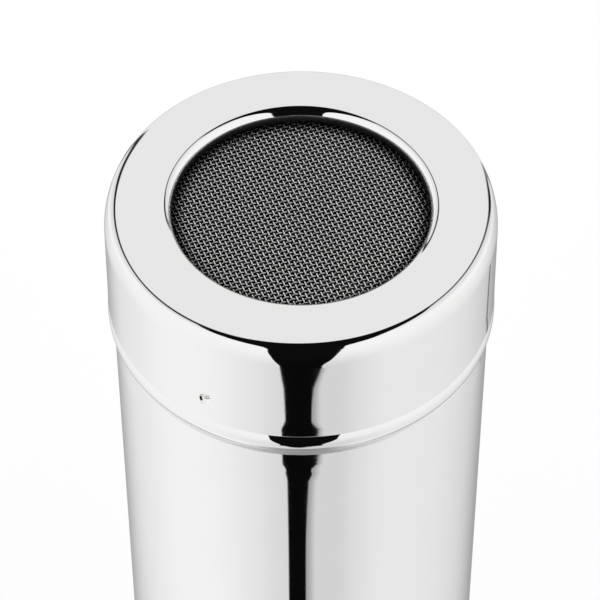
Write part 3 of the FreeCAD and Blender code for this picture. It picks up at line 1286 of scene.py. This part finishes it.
def pale_floor(tint):
    """Matt floor that keeps its shadow, and that neither the steel nor a view from below sees."""
    made = bpy.data.materials.new("pale_floor")
    made.use_nodes = True
    tree = made.node_tree
    tree.nodes.clear()
    path = node(tree, "ShaderNodeLightPath").outputs
    matt = node(tree, "ShaderNodeBsdfDiffuse")
    matt.inputs["Color"].default_value = [*tint, 1]
    glow = node(tree, "ShaderNodeEmission")
    glow.inputs["Strength"].default_value = FLOOR_GLOW
    clear = node(tree, "ShaderNodeBsdfTransparent")
    below = node(tree, "ShaderNodeNewGeometry").outputs["Backfacing"]
    hidden = folded(tree, "MAXIMUM", path["Is Glossy Ray"], path["Is Transmission Ray"], below)
    painted_light_and_marks = mixed_shader(tree, times(tree, path["Is Camera Ray"], FLOOR_GLOW_SHARE), matt, glow)
    output = node(tree, "ShaderNodeOutputMaterial")
    feed(tree, mixed_shader(tree, hidden, painted_light_and_marks, clear).outputs[0], output.inputs[0])
    return made


def add_floor(scene):
    """Flat floor under the shaker."""
    mesh = bpy.data.meshes.new("floor")
    signs = ((-1, -1), (1, -1), (1, 1), (-1, 1))
    corners = [(x * FLOOR_REACH, y * FLOOR_REACH, 0) for x, y in signs]
    mesh.from_pydata(corners, [], [(0, 1, 2, 3)])
    mesh.materials.append(pale_floor(scene.shaker_colours.floor))
    floor = bpy.data.objects.new("floor", mesh)
    scene.collection.objects.link(floor)


def add_camera(scene):
    """Camera at the photograph's angle, above the front."""
    camera = bpy.data.cameras.new("camera")
    camera.sensor_width = CAMERA_SENSOR
    camera.lens = CAMERA_LENS
    camera.clip_start = CAMERA_NEAR
    camera.clip_end = CAMERA_FAR
    holder = bpy.data.objects.new("camera", camera)
    scene.collection.objects.link(holder)
    towards = Vector((0, -math.cos(CAMERA_LIFT), math.sin(CAMERA_LIFT)))
    holder.location = Vector((0, 0, SHAKER_TOP)) + CAMERA_AWAY * towards
    look = Matrix.Rotation(math.pi / 2 - CAMERA_LIFT, 3, "X")
    roll = Matrix.Rotation(CAMERA_ROLL, 3, "Z")
    pitch = Matrix.Rotation(CAMERA_PITCH, 3, "X")
    yaw = Matrix.Rotation(CAMERA_YAW, 3, "Y")
    holder.rotation_euler = (look @ roll @ pitch @ yaw).to_euler()
    scene.camera = holder


class SHAKER_OT_stage(bpy.types.Operator):
    """Set the floor, the light tent and the camera"""

    bl_idname = "shaker.stage"
    bl_label = "Stage"

    def execute(self, context):
        studio_world()
        add_floor(context.scene)
        add_camera(context.scene)
        context.scene.view_settings.view_transform = "Standard"
        return {"FINISHED"}


class VIEW3D_PT_shaker(bpy.types.Panel):
    """Sizes, colours and steps of the spice shaker"""

    bl_label = "Spice shaker"
    bl_space_type = "VIEW_3D"
    bl_region_type = "UI"
    bl_category = "Shaker"

    def draw(self, context):
        layout = self.layout
        for name, group in GROUPS.items():
            box = layout.box()
            box.label(text=group.__doc__)
            for key in group.__annotations__:
                box.prop(getattr(context.scene, name), key)
        for operator in OPERATORS:
            layout.operator(operator.bl_idname)


OPERATORS = (SHAKER_OT_stage, SHAKER_OT_cup, SHAKER_OT_ring, SHAKER_OT_cloth, SHAKER_OT_lid)
CLASSES = (*GROUPS.values(), *OPERATORS, VIEW3D_PT_shaker)


def register():
    """Add the classes and the scene's properties."""
    for one in CLASSES:
        bpy.utils.register_class(one)
    for name, group in GROUPS.items():
        setattr(bpy.types.Scene, name, PointerProperty(type=group))


def unregister():
    """Take the scene's properties and the classes away."""
    for name in GROUPS:
        delattr(bpy.types.Scene, name)
    for one in reversed(CLASSES):
        bpy.utils.unregister_class(one)


def main():
    """Build the shaker and its stage."""
    register()
    bpy.ops.shaker.stage()
    bpy.ops.shaker.cup()
    bpy.ops.shaker.ring()
    bpy.ops.shaker.cloth()
    bpy.ops.shaker.lid()


if __name__ == "__main__":
    main()
